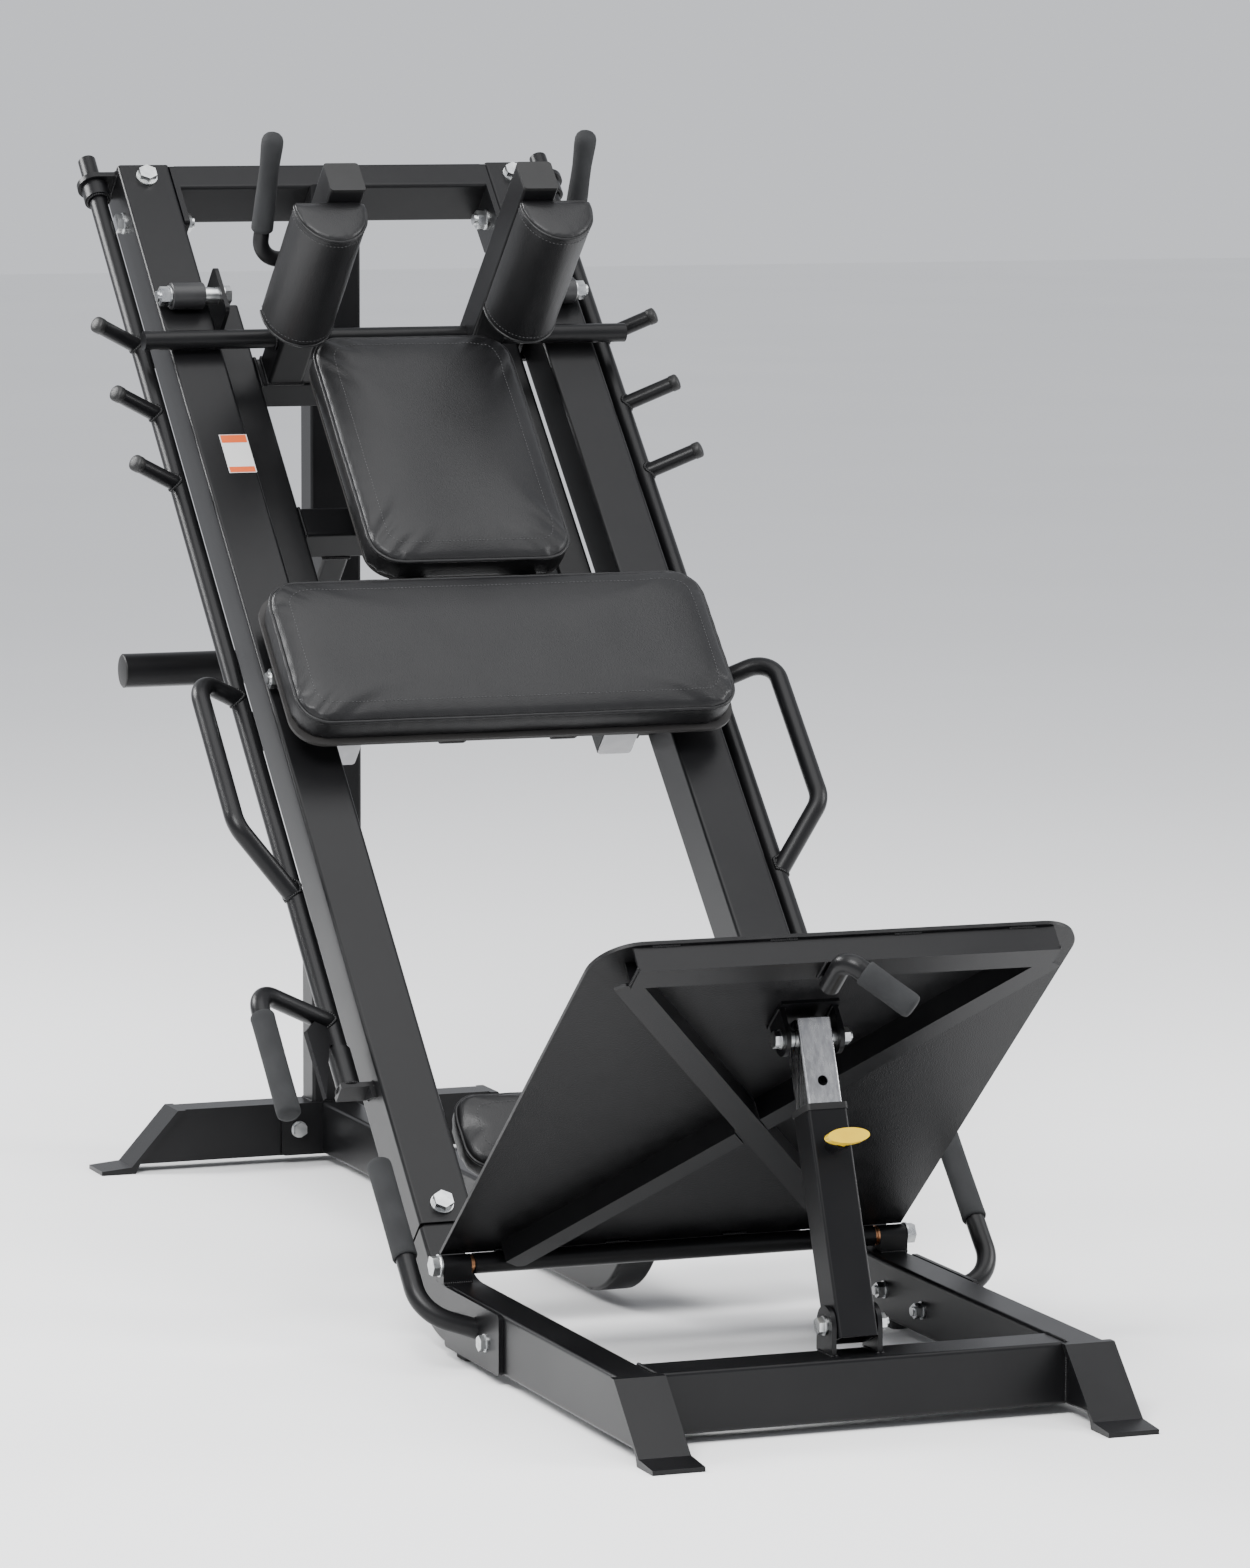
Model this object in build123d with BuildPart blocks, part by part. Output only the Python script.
from build123d import *
import os
from math import atan2, cos, degrees, radians, sin, tan

# Hack squat machine: a carriage with back pad, hip pad and shoulder pads rolls on two
# rails inclined at 45 degrees above a floor frame. The foot plate folds about a hinge on
# a telescoping pinned strut. A stop rod beside each rail turns three pegs under the catch bar.
# Millimetres, +Z up, +Y towards the rear post, origin on the floor at the centre of the footprint.

os.makedirs("parts", exist_ok=True)

# ---- sizes shared by several pieces ----
CONTACT = 0.05          # radial clearance of bolts, pins and rods in their holes
SLIP = 0.5              # axial gap between a turning piece and its bracket
TUBE_WALL = 3.0
BASE_TUBE_H = 76.2      # floor frame tube, height
BASE_TUBE_W = 50.8      # floor frame tube, width
FLOOR_GAP = 12.7        # floor to the underside of the floor frame
PLATE = 6.0             # bracket plate
BASE_TOP = FLOOR_GAP + BASE_TUBE_H
BASE_MID = FLOOR_GAP + BASE_TUBE_H / 2

# ---- rails ----
HINGE_Y = -349.4        # foot plate hinge; the other lengthwise positions are set out from it
RAIL_TILT = 45.0
RAIL_FOOT_Y = HINGE_Y + 81.3    # front face of the rail at its lower end
RAIL_FOOT_Z = 150.2
RAIL_X = 278.4          # rail centre from the mid-plane
RAIL_SIZE = 76.2
RAIL_LEN = 1846.0
RAIL_IN = RAIL_X - RAIL_SIZE / 2
RAIL_OUT = RAIL_X + RAIL_SIZE / 2

# ---- floor frame ----
FRONT_Y = HINGE_Y - 616.0       # front face of the front cross tube
FRONT_TUBE_W = 63.5
POST_Y = RAIL_FOOT_Y + RAIL_LEN * cos(radians(RAIL_TILT)) - 9.6
POST_W = 76.2
REAR_HALF = 235.0       # rear cross member, half length along its top
FOOT_WIDTH = 66.0
FOOT_REACH = 96.0       # horizontal run of the sloped foot plate
TOE = 45.0

# ---- stop rods ----
ROD_R = 12.7
ROD_X = RAIL_X + 66.6
ROD_N = -38.1
PEG_TILT = 34.5         # pegs swung outwards, above the sideways direction
PEG_R = 11.0
PEG_REACH = 87.0
PEG_AT = (1275.0, 1403.0, 1531.0)
ROD_TOP = RAIL_LEN + 44.0

# ---- foot plate ----
HINGE_Z = 110.0
HINGE_R = 12.7
HINGE_PIN_R = 6.0
SLEEVE_LEN = 38.0
FP_TUBE_R = 13.3        # hinge tube; the plate on it clears the hinge sleeves
HINGE_HALF = RAIL_X + 39.6      # mid-plane to the outer end of the hinge sleeve
FP_TILT = 39.8
FP_LEN = 735.0
FP_HALF = HINGE_HALF - 2.0
FP_THICK = 5.0

# ---- strut under the foot plate ----
STRUT_FOOT_Y = HINGE_Y - 572.0
STRUT_FOOT_Z = 122.0
STRUT_HEAD_T = 557.0    # along the foot plate from the hinge
STRUT_HEAD_M = -22.5    # below the hinge plane of the foot plate
STRUT_OUTER = 50.8
STRUT_INNER = 44.0
STRUT_PIN_R = 6.35

# ---- carriage ----
MEMBER_X = RAIL_X - 77.0        # centre of the carriage side members
MEMBER_W = 50.8
MEMBER_D = 63.5
MEMBER_N = -51.0        # front face of the side members
MEMBER_LOW = 834.0
MEMBER_TOP = 1620.0
ARM_X = 141.0
ARM_S = 1493.5
ARM_SIZE = 50.8
ARM_END = 342.0
PAD_N = 45.0            # back of the back pad and hip pad foam
PAD_THICK = 50.0
HIP_S = (748.0, 1000.0)
HIP_HALF = RAIL_X + 39.6
BACK_S = (1022.0, 1440.0)
BACK_HALF = 150.0
BOARD_THICK = 5.0
ROLLER_R = 19.0
ROLLER_W = 48.0
ROLLER_GAP = 0.2
AXLE_R = 8.0
ROLLER_AT = (880.0, 1575.0)
CATCH_R = 13.5
CATCH_HALF = ROD_X + 14.0
CATCH_N = 17.6
HORN_R = 24.15
HORN_HALF = RAIL_X + 90.6
HORN_S = 1214.0
HORN_N = -367.0

S_DIR = Vector(0, cos(radians(RAIL_TILT)), sin(radians(RAIL_TILT)))
N_DIR = Vector(0, -sin(radians(RAIL_TILT)), cos(radians(RAIL_TILT)))
X_DIR = Vector(1, 0, 0)
RAIL_ORIGIN = Vector(0, RAIL_FOOT_Y, RAIL_FOOT_Z)
FACE_PLANE = Plane(origin=RAIL_ORIGIN, x_dir=X_DIR, z_dir=N_DIR)
HINGE = Vector(0, HINGE_Y, HINGE_Z)
T_DIR = Vector(0, -cos(radians(FP_TILT)), sin(radians(FP_TILT)))
M_DIR = Vector(0, sin(radians(FP_TILT)), cos(radians(FP_TILT)))


def on_rail(x, s, n):
    return RAIL_ORIGIN + X_DIR * x + S_DIR * s + N_DIR * n


def on_plate(x, t, m):
    return HINGE + X_DIR * x + T_DIR * t + M_DIR * m


def rail_side(x):
    # sketch axes: along the rail, out of the rail front; extrudes along +X
    return Plane(origin=on_rail(x, 0, 0), x_dir=S_DIR, z_dir=X_DIR)


def rail_cross(s):
    # sketch axes: X, and back into the rail; extrudes up the rail
    return Plane(origin=on_rail(0, s, 0), x_dir=X_DIR, z_dir=S_DIR)


def rail_face(n):
    # sketch axes: X, along the rail; extrudes out of the rail front
    return Plane(origin=on_rail(0, 0, n), x_dir=X_DIR, z_dir=N_DIR)


def plate_face(m):
    # sketch axes: X, down the foot plate; extrudes along its upper normal
    return Plane(origin=on_plate(0, 0, m), x_dir=X_DIR, z_dir=M_DIR)


def plate_side(x):
    # sketch axes: up the foot plate, along its upper normal; extrudes along -X
    return Plane(origin=on_plate(x, 0, 0), x_dir=T_DIR, z_dir=-X_DIR)


def round_bar(points, bend, radius, bore=0):
    with BuildPart() as bar:
        with BuildLine() as path:
            if bend:
                FilletPolyline(*points, radius=bend)
            else:
                Polyline(*points)
        with BuildSketch(Plane(origin=path.line @ 0, z_dir=path.line % 0)):
            Circle(radius)
            if bore:
                Circle(bore, mode=Mode.SUBTRACT)
        sweep()
    return bar.part


def box_tube(plane, centre, size, length, wall=TUBE_WALL, corner=5.0):
    with BuildPart() as tube:
        with BuildSketch(plane):
            with Locations(centre):
                RectangleRounded(size[0], size[1], corner)
                if wall:
                    RectangleRounded(size[0] - 2 * wall, size[1] - 2 * wall,
                                     corner - wall, mode=Mode.SUBTRACT)
        extrude(amount=length)
    return tube.part


def hex_bolt(start, axis, grip, radius, washer=2.0):
    # head and washer before the start point, nut and washer after the grip length
    seat = Plane(origin=start, z_dir=axis)
    with BuildPart() as bolt:
        with BuildSketch(seat.offset(-washer - radius * 1.25)):
            RegularPolygon(radius=radius * 1.72, side_count=6)
        extrude(amount=radius * 1.25)
        with BuildSketch(seat.offset(-washer)):
            Circle(radius * 1.9)
        extrude(amount=washer)
        with BuildSketch(seat):
            Circle(radius)
        extrude(amount=grip + washer + radius * 2.2)
        with BuildSketch(seat.offset(grip)):
            Circle(radius * 1.9)
        extrude(amount=washer)
        with BuildSketch(seat.offset(grip + washer)):
            RegularPolygon(radius=radius * 1.72, side_count=6)
        extrude(amount=radius * 1.6)
    return bolt.part


def rod(start, axis, length, radius):
    with BuildPart() as pin:
        with BuildSketch(Plane(origin=start, z_dir=axis)):
            Circle(radius)
        extrude(amount=length)
    return pin.part


def save(builder, name):
    builder.part.label = name
    export_step(builder.part, "parts/" + name + ".step")


# ================= floor frame =================

FLANGE_HALF = 88.0
FLANGE_BOLT_X = 62.0
FLANGE_BOLT_R = 6.35
REAR_FRONT_FACE = POST_Y - BASE_TUBE_W / 2
SLOPE_RUN = BASE_TUBE_H
with BuildPart() as rear_cross_member:
    with BuildSketch(Plane.XZ.offset(-(POST_Y + BASE_TUBE_W / 2))):
        with BuildLine():
            Polyline((-REAR_HALF, BASE_TOP), (REAR_HALF, BASE_TOP),
                     (REAR_HALF + SLOPE_RUN, FLOOR_GAP), (-REAR_HALF - SLOPE_RUN, FLOOR_GAP), close=True)
        make_face()
    extrude(amount=BASE_TUBE_W)
    with BuildSketch(Plane.XZ.offset(-(POST_Y + BASE_TUBE_W / 2 - TUBE_WALL))):
        with BuildLine():
            Polyline((-REAR_HALF, BASE_TOP - TUBE_WALL), (REAR_HALF, BASE_TOP - TUBE_WALL),
                     (REAR_HALF + SLOPE_RUN - 2 * TUBE_WALL, FLOOR_GAP + TUBE_WALL),
                     (-REAR_HALF - SLOPE_RUN + 2 * TUBE_WALL, FLOOR_GAP + TUBE_WALL), close=True)
        make_face()
    extrude(amount=BASE_TUBE_W - 2 * TUBE_WALL, mode=Mode.SUBTRACT)
    # bent foot plates closing both ends, toes flat on the floor
    for side in (-1, 1):
        with BuildSketch(Plane.XZ.offset(-(POST_Y + FOOT_WIDTH / 2))):
            with BuildLine():
                Polyline((side * REAR_HALF, BASE_TOP), (side * (REAR_HALF + 2 * PLATE), BASE_TOP),
                         (side * (REAR_HALF + SLOPE_RUN + PLATE), PLATE + 4),
                         (side * (REAR_HALF + SLOPE_RUN + PLATE + TOE), PLATE),
                         (side * (REAR_HALF + SLOPE_RUN + PLATE + TOE), 0),
                         (side * (REAR_HALF + SLOPE_RUN), 0),
                         (side * (REAR_HALF + SLOPE_RUN - PLATE), FLOOR_GAP), close=True)
            make_face()
        extrude(amount=FOOT_WIDTH)
    for side in (-1, 1):
        with BuildSketch(Plane.XZ.offset(-(POST_Y + BASE_TUBE_W / 2))):
            with Locations((side * FLANGE_BOLT_X, BASE_MID)):
                Circle(FLANGE_BOLT_R + CONTACT)
        extrude(amount=BASE_TUBE_W, mode=Mode.SUBTRACT)
save(rear_cross_member, "rear_cross_member")

BEAM_S = 45.0
BEAM_N = 76.2
BEAM_LOW = RAIL_LEN - BEAM_S
with BuildPart() as rear_post:
    with BuildSketch(Plane.XY.offset(BASE_TOP)):
        with Locations((0, POST_Y)):
            RectangleRounded(POST_W, BASE_TUBE_W, 5.0)
            RectangleRounded(POST_W - 2 * TUBE_WALL, BASE_TUBE_W - 2 * TUBE_WALL, 2.0,
                             mode=Mode.SUBTRACT)
    extrude(amount=RAIL_FOOT_Z + RAIL_LEN * sin(radians(RAIL_TILT)) - BASE_TOP)
    # the post head is cut to the underside of the inclined top beam
    with BuildSketch(rail_side(-POST_W)):
        Polygon((BEAM_LOW, -BEAM_N - 400), (BEAM_LOW, BEAM_N + 400), (BEAM_LOW + 600, BEAM_N + 400),
                (BEAM_LOW + 600, -BEAM_N - 400), align=None)
    extrude(amount=2 * POST_W, mode=Mode.SUBTRACT)
save(rear_post, "rear_post")

SPINE_BEND = 132.0      # centre line radius where the spine turns up to the seat
SPINE_BEND_Y = HINGE_Y + 259.0
CARRIER_S = (-34.0, 196.0)
CARRIER_N = -52.0
CARRIER_HALF = 55.0
SPINE_START = REAR_FRONT_FACE - PLATE
bend_end = Vector(0, SPINE_BEND_Y - SPINE_BEND * sin(radians(RAIL_TILT)),
                  BASE_MID + SPINE_BEND * (1 - cos(radians(RAIL_TILT))))
bend_mid = Vector(0, SPINE_BEND_Y - SPINE_BEND * sin(radians(RAIL_TILT / 2)),
                  BASE_MID + SPINE_BEND * (1 - cos(radians(RAIL_TILT / 2))))
rise = (on_rail(0, 0, CARRIER_N) - bend_end).dot(N_DIR)
with BuildPart() as spine:
    with BuildLine() as spine_path:
        Line((0, SPINE_START, BASE_MID), (0, SPINE_BEND_Y, BASE_MID))
        ThreePointArc((0, SPINE_BEND_Y, BASE_MID), tuple(bend_mid), tuple(bend_end))
        Line(tuple(bend_end), tuple(bend_end + N_DIR * rise))
    with BuildSketch(Plane(origin=spine_path.line @ 0, x_dir=(1, 0, 0), z_dir=(0, -1, 0))):
        RectangleRounded(BASE_TUBE_W, BASE_TUBE_H, 5.0)
        RectangleRounded(BASE_TUBE_W - 2 * TUBE_WALL, BASE_TUBE_H - 2 * TUBE_WALL, 2.0,
                         mode=Mode.SUBTRACT)
    sweep()
    # bolting flange against the rear cross member
    with BuildSketch(Plane.XZ.offset(-REAR_FRONT_FACE)):
        with Locations((0, BASE_MID)):
            RectangleRounded(2 * FLANGE_HALF, BASE_TUBE_H, 6.0)
        with Locations((-FLANGE_BOLT_X, BASE_MID), (FLANGE_BOLT_X, BASE_MID)):
            Circle(FLANGE_BOLT_R + CONTACT, mode=Mode.SUBTRACT)
    extrude(amount=PLATE)
    # seat carrier: a flat bar along the rails on the head of the spine
    with BuildSketch(rail_face(CARRIER_N)):
        with Locations((0, sum(CARRIER_S) / 2)):
            RectangleRounded(2 * CARRIER_HALF, CARRIER_S[1] - CARRIER_S[0], 8.0)
    extrude(amount=PLATE)
save(spine, "spine")

BEAM_PLATE = 8.0
TIE_BOLT_R = 8.0
TIE_BOLT_S = RAIL_LEN - 24.0
TIE_BOLT_X = RAIL_X
SIDE_BOLT_S = RAIL_LEN - 78.0
SIDE_BOLT_N = -RAIL_SIZE / 2
FOOT_BOLT_S = 27.0
FOOT_BOLT_X = RAIL_X + 2.0
HEAD_BRACKET = (RAIL_LEN - BEAM_PLATE, RAIL_LEN)
FOOT_SLEEVE = (232.0, 240.0, 300.0)     # plate underside, plate top, sleeve top
SLEEVE_R = 15.9
BRACKET_R = 24.0
with BuildPart() as rail_right:
    add(box_tube(rail_cross(0), (RAIL_X, RAIL_SIZE / 2), (RAIL_SIZE, RAIL_SIZE), RAIL_LEN))
    # welded cap at the head
    with BuildSketch(rail_cross(RAIL_LEN - TUBE_WALL)):
        with Locations((RAIL_X, RAIL_SIZE / 2)):
            Rectangle(RAIL_SIZE - 2 * TUBE_WALL, RAIL_SIZE - 2 * TUBE_WALL)
    extrude(amount=TUBE_WALL)
    # ear that holds the head of the stop rod
    with BuildSketch(rail_cross(HEAD_BRACKET[0])):
        with Locations((ROD_X, -ROD_N)):
            Circle(BRACKET_R)
        with Locations(((RAIL_OUT + ROD_X) / 2, -ROD_N)):
            Rectangle(ROD_X - RAIL_OUT, 2 * BRACKET_R)
        with Locations((ROD_X, -ROD_N)):
            Circle(ROD_R + CONTACT, mode=Mode.SUBTRACT)
    extrude(amount=HEAD_BRACKET[1] - HEAD_BRACKET[0])
    # step bracket and sleeve that hold the foot of the stop rod
    with BuildSketch(rail_cross(FOOT_SLEEVE[0])):
        with Locations(((RAIL_OUT + ROD_X + SLEEVE_R) / 2, -ROD_N)):
            Rectangle(ROD_X + SLEEVE_R - RAIL_OUT, 2 * SLEEVE_R)
    extrude(amount=FOOT_SLEEVE[1] - FOOT_SLEEVE[0] - SLIP)
    with BuildSketch(rail_cross(FOOT_SLEEVE[0])):
        with Locations((ROD_X, -ROD_N)):
            Circle(SLEEVE_R)
            Circle(ROD_R + CONTACT, mode=Mode.SUBTRACT)
    extrude(amount=FOOT_SLEEVE[2] - FOOT_SLEEVE[0])
    with BuildSketch(rail_side(RAIL_OUT)):
        Polygon((FOOT_SLEEVE[0], ROD_N - SLEEVE_R), (FOOT_SLEEVE[0], ROD_N + SLEEVE_R),
                (FOOT_SLEEVE[0] - 3 * PLATE, ROD_N + SLEEVE_R), align=None)
    extrude(amount=PLATE)
    with BuildSketch(rail_face(-RAIL_SIZE)):
        with Locations((TIE_BOLT_X, TIE_BOLT_S), (FOOT_BOLT_X, FOOT_BOLT_S)):
            Circle(TIE_BOLT_R + CONTACT)
    extrude(amount=RAIL_SIZE, mode=Mode.SUBTRACT)
    with BuildSketch(rail_side(RAIL_IN)):
        with Locations((SIDE_BOLT_S, SIDE_BOLT_N)):
            Circle(TIE_BOLT_R + CONTACT)
    extrude(amount=RAIL_SIZE, mode=Mode.SUBTRACT)
with BuildPart() as rail_left:
    add(mirror(rail_right.part, about=Plane.YZ))
save(rail_right, "rail_right")
save(rail_left, "rail_left")

BEAM_PLATE_LOW = RAIL_LEN - 112.0
with BuildPart() as top_beam:
    with BuildSketch(rail_side(-RAIL_IN + BEAM_PLATE)):
        with Locations((RAIL_LEN - BEAM_S / 2, -BEAM_N / 2)):
            RectangleRounded(BEAM_S, BEAM_N, 5.0)
            RectangleRounded(BEAM_S - 2 * TUBE_WALL, BEAM_N - 2 * TUBE_WALL, 2.0, mode=Mode.SUBTRACT)
    extrude(amount=2 * (RAIL_IN - BEAM_PLATE))
    # end plates bolted to the inner faces of the rails
    for x in (-RAIL_IN, RAIL_IN - BEAM_PLATE):
        with BuildSketch(rail_side(x)):
            with Locations(((RAIL_LEN + BEAM_PLATE_LOW) / 2, -BEAM_N / 2)):
                RectangleRounded(RAIL_LEN - BEAM_PLATE_LOW, BEAM_N, 6.0)
            with Locations((SIDE_BOLT_S, SIDE_BOLT_N)):
                Circle(TIE_BOLT_R + CONTACT, mode=Mode.SUBTRACT)
        extrude(amount=BEAM_PLATE)
save(top_beam, "top_beam")

# ---- side tubes: floor run, bend up to the rail, foot plate and hinge sleeve ----
SIDE_X = RAIL_X + 12.6
SIDE_BEND = 150.0       # centre line radius
SIDE_TOP_S = -4.0       # the tube stops short of the rail
SIDE_N = -3.0 - BASE_TUBE_H / 2
SPIGOT_TOP = 92.0
SPIGOT = (BASE_TUBE_W - 2 * TUBE_WALL - 4.2, 64.0)
SPIGOT_N = -4.0 - SPIGOT[1] / 2
turn = tan(radians(RAIL_TILT / 2)) * SIDE_BEND
# where the upturned centre line meets the level centre line
knee_s = (BASE_MID - on_rail(0, 0, SIDE_N).Z) / sin(radians(RAIL_TILT))
knee = on_rail(SIDE_X, knee_s, SIDE_N)
bend_in = knee + Vector(0, -turn, 0)
bend_out = knee + S_DIR * turn
bend_way = Vector(SIDE_X, bend_in.Y + SIDE_BEND * sin(radians(RAIL_TILT / 2)),
                  BASE_MID + SIDE_BEND * (1 - cos(radians(RAIL_TILT / 2))))
FRONT_SLOPE = FRONT_Y - BASE_TUBE_H * 1.1
FRONT_TOE = FRONT_SLOPE - 10.0 - TOE
ASSIST_BOLTS = ((HINGE_Y - 60.0, 50.8), (HINGE_Y - 181.0, 46.0))
ASSIST_BOLT_R = 6.0
with BuildPart() as side_tube_right:
    with BuildLine() as side_path:
        Line((SIDE_X, FRONT_SLOPE, BASE_MID), tuple(bend_in))
        ThreePointArc(tuple(bend_in), tuple(bend_way), tuple(bend_out))
        Line(tuple(bend_out), tuple(on_rail(SIDE_X, SIDE_TOP_S, SIDE_N)))
    with BuildSketch(Plane(origin=side_path.line @ 0, x_dir=(1, 0, 0), z_dir=(0, 1, 0))):
        RectangleRounded(BASE_TUBE_W, BASE_TUBE_H, 5.0)
        RectangleRounded(BASE_TUBE_W - 2 * TUBE_WALL, BASE_TUBE_H - 2 * TUBE_WALL, 2.0,
                         mode=Mode.SUBTRACT)
    sweep()
    # sloped front end, closed by a bent foot plate
    with BuildSketch(Plane.YZ.offset(SIDE_X - BASE_TUBE_W)):
        Polygon((FRONT_Y, BASE_TOP + 1), (FRONT_SLOPE - 1, FLOOR_GAP - 1), (FRONT_SLOPE - 1, BASE_TOP + 1),
                align=None)
    extrude(amount=2 * BASE_TUBE_W, mode=Mode.SUBTRACT)
    with BuildSketch(Plane.YZ.offset(SIDE_X - FOOT_WIDTH / 2)):
        Polygon((FRONT_Y, BASE_TOP), (FRONT_Y - 2 * PLATE, BASE_TOP), (FRONT_SLOPE - 10, PLATE + 4),
                (FRONT_TOE, PLATE), (FRONT_TOE, 0), (FRONT_SLOPE - 4, 0),
                (FRONT_SLOPE, FLOOR_GAP), align=None)
    extrude(amount=FOOT_WIDTH)
    # spigot that enters the foot of the rail
    with BuildSketch(rail_cross(SIDE_TOP_S - 40)):
        with Locations((SIDE_X, -SPIGOT_N)):
            Rectangle(SPIGOT[0], SPIGOT[1])
            Rectangle(SPIGOT[0] - 4 * TUBE_WALL, SPIGOT[1] - 4 * TUBE_WALL, mode=Mode.SUBTRACT)
    extrude(amount=SPIGOT_TOP - SIDE_TOP_S + 40)
    with BuildSketch(rail_face(-RAIL_SIZE)):
        with Locations((FOOT_BOLT_X, FOOT_BOLT_S)):
            Circle(TIE_BOLT_R + CONTACT)
    extrude(amount=RAIL_SIZE, mode=Mode.SUBTRACT)
    # hinge sleeve on its weld saddle
    with BuildSketch(Plane.YZ.offset(HINGE_HALF - SLEEVE_LEN)):
        with Locations((HINGE_Y, HINGE_Z)):
            Circle(HINGE_R)
        with Locations((HINGE_Y, (HINGE_Z + BASE_TOP - 1) / 2)):
            Rectangle(2 * HINGE_R, HINGE_Z - BASE_TOP + 1)
        with Locations((HINGE_Y, HINGE_Z)):
            Circle(HINGE_PIN_R + CONTACT, mode=Mode.SUBTRACT)
    extrude(amount=SLEEVE_LEN)
    for y, z in ASSIST_BOLTS:
        with BuildSketch(Plane.YZ.offset(SIDE_X - BASE_TUBE_W)):
            with Locations((y, z)):
                Circle(ASSIST_BOLT_R + CONTACT)
        extrude(amount=2 * BASE_TUBE_W, mode=Mode.SUBTRACT)
with BuildPart() as side_tube_left:
    add(mirror(side_tube_right.part, about=Plane.YZ))
save(side_tube_right, "side_tube_right")
save(side_tube_left, "side_tube_left")

CROSS_HALF = SIDE_X - BASE_TUBE_W / 2
EAR_IN = STRUT_OUTER / 2 + 1.5
EAR_TOP = STRUT_FOOT_Z + 26.0
EAR_HALF = 24.0
with BuildPart() as front_cross_tube:
    with BuildSketch(Plane.YZ.offset(-CROSS_HALF)):
        with Locations((FRONT_Y + FRONT_TUBE_W / 2, BASE_MID)):
            RectangleRounded(FRONT_TUBE_W, BASE_TUBE_H, 5.0)
            RectangleRounded(FRONT_TUBE_W - 2 * TUBE_WALL, BASE_TUBE_H - 2 * TUBE_WALL, 2.0,
                             mode=Mode.SUBTRACT)
    extrude(amount=2 * CROSS_HALF)
    # ears of the lower strut pivot
    for x in (-EAR_IN - PLATE, EAR_IN):
        with BuildSketch(Plane.YZ.offset(x)):
            with Locations((STRUT_FOOT_Y, STRUT_FOOT_Z)):
                Circle(EAR_HALF)
            with Locations((STRUT_FOOT_Y, (STRUT_FOOT_Z + BASE_TOP) / 2)):
                Rectangle(2 * EAR_HALF, STRUT_FOOT_Z - BASE_TOP)
            with Locations((STRUT_FOOT_Y, STRUT_FOOT_Z)):
                Circle(STRUT_PIN_R + CONTACT, mode=Mode.SUBTRACT)
        extrude(amount=PLATE)
save(front_cross_tube, "front_cross_tube")

RUBBER = (36.0, 40.0)
RUBBER_Y = HINGE_Y - 52.0
with BuildPart() as rubber_feet:
    with BuildSketch(Plane.XY):
        with Locations((-SIDE_X, RUBBER_Y), (SIDE_X, RUBBER_Y)):
            RectangleRounded(RUBBER[0], RUBBER[1], 6.0)
    extrude(amount=FLOOR_GAP)
save(rubber_feet, "rubber_feet")

with BuildPart() as top_beam_bolts:
    for side in (-1, 1):
        add(hex_bolt(on_rail(side * TIE_BOLT_X, TIE_BOLT_S, 0), -N_DIR, RAIL_SIZE, TIE_BOLT_R))
        add(hex_bolt(on_rail(side * RAIL_OUT, SIDE_BOLT_S, SIDE_BOLT_N), X_DIR * -side,
                     RAIL_SIZE + BEAM_PLATE, TIE_BOLT_R))
save(top_beam_bolts, "top_beam_bolts")

with BuildPart() as rail_foot_bolts:
    for side in (-1, 1):
        add(hex_bolt(on_rail(side * FOOT_BOLT_X, FOOT_BOLT_S, 0), -N_DIR, RAIL_SIZE, TIE_BOLT_R))
save(rail_foot_bolts, "rail_foot_bolts")

with BuildPart() as flange_bolts:
    for side in (-1, 1):
        add(hex_bolt(Vector(side * FLANGE_BOLT_X, SPINE_START, BASE_MID), Vector(0, 1, 0),
                     PLATE + BASE_TUBE_W, FLANGE_BOLT_R))
save(flange_bolts, "flange_bolts")

# ---- assist handles beside the feet of the rails ----
ASSIST_X = SIDE_X + 97.0
ASSIST_R = 12.7
GRIP_R = 15.8
ASSIST_HEAD = Vector(ASSIST_X, HINGE_Y + 33.0, 237.0)
ASSIST_DROP = 160.0
ASSIST_GRIP = 148.0
ASSIST_LAND = Vector(SIDE_X + BASE_TUBE_W / 2 + PLATE / 2, HINGE_Y - 142.0, 56.0)
ASSIST_PLATE = (HINGE_Y - 128.0, 200.0)     # centre, length
assist_low = ASSIST_HEAD - S_DIR * (ASSIST_DROP + 66.0)
with BuildPart() as assist_handle_right:
    add(round_bar([tuple(ASSIST_HEAD), tuple(assist_low), tuple(ASSIST_LAND)], 55.0, ASSIST_R, 9.7))
    with BuildSketch(Plane.YZ.offset(SIDE_X + BASE_TUBE_W / 2)):
        with Locations((ASSIST_PLATE[0], BASE_MID)):
            RectangleRounded(ASSIST_PLATE[1], BASE_TUBE_H, 6.0)
        for y, z in ASSIST_BOLTS:
            with Locations((y, z)):
                Circle(ASSIST_BOLT_R + CONTACT, mode=Mode.SUBTRACT)
    extrude(amount=PLATE)
    # the tube end is dressed flush with the back of its plate
    with BuildSketch(Plane.YZ.offset(SIDE_X)):
        with Locations((ASSIST_PLATE[0], BASE_MID)):
            Rectangle(1.2 * ASSIST_PLATE[1], 2 * BASE_TUBE_H)
    extrude(amount=BASE_TUBE_W / 2, mode=Mode.SUBTRACT)
with BuildPart() as assist_handle_left:
    add(mirror(assist_handle_right.part, about=Plane.YZ))
save(assist_handle_right, "assist_handle_right")
save(assist_handle_left, "assist_handle_left")


def foam_grip(start, axis, length, inner=ASSIST_R, outer=GRIP_R, end_wall=5.0):
    # closed foam sleeve; the start point is its closed end
    with BuildPart() as grip:
        with BuildSketch(Plane(origin=start, z_dir=axis)):
            Circle(outer)
        extrude(amount=length)
        with BuildSketch(Plane(origin=start + axis * end_wall, z_dir=axis)):
            Circle(inner + CONTACT)
        extrude(amount=length - end_wall, mode=Mode.SUBTRACT)
    return grip.part


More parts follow.
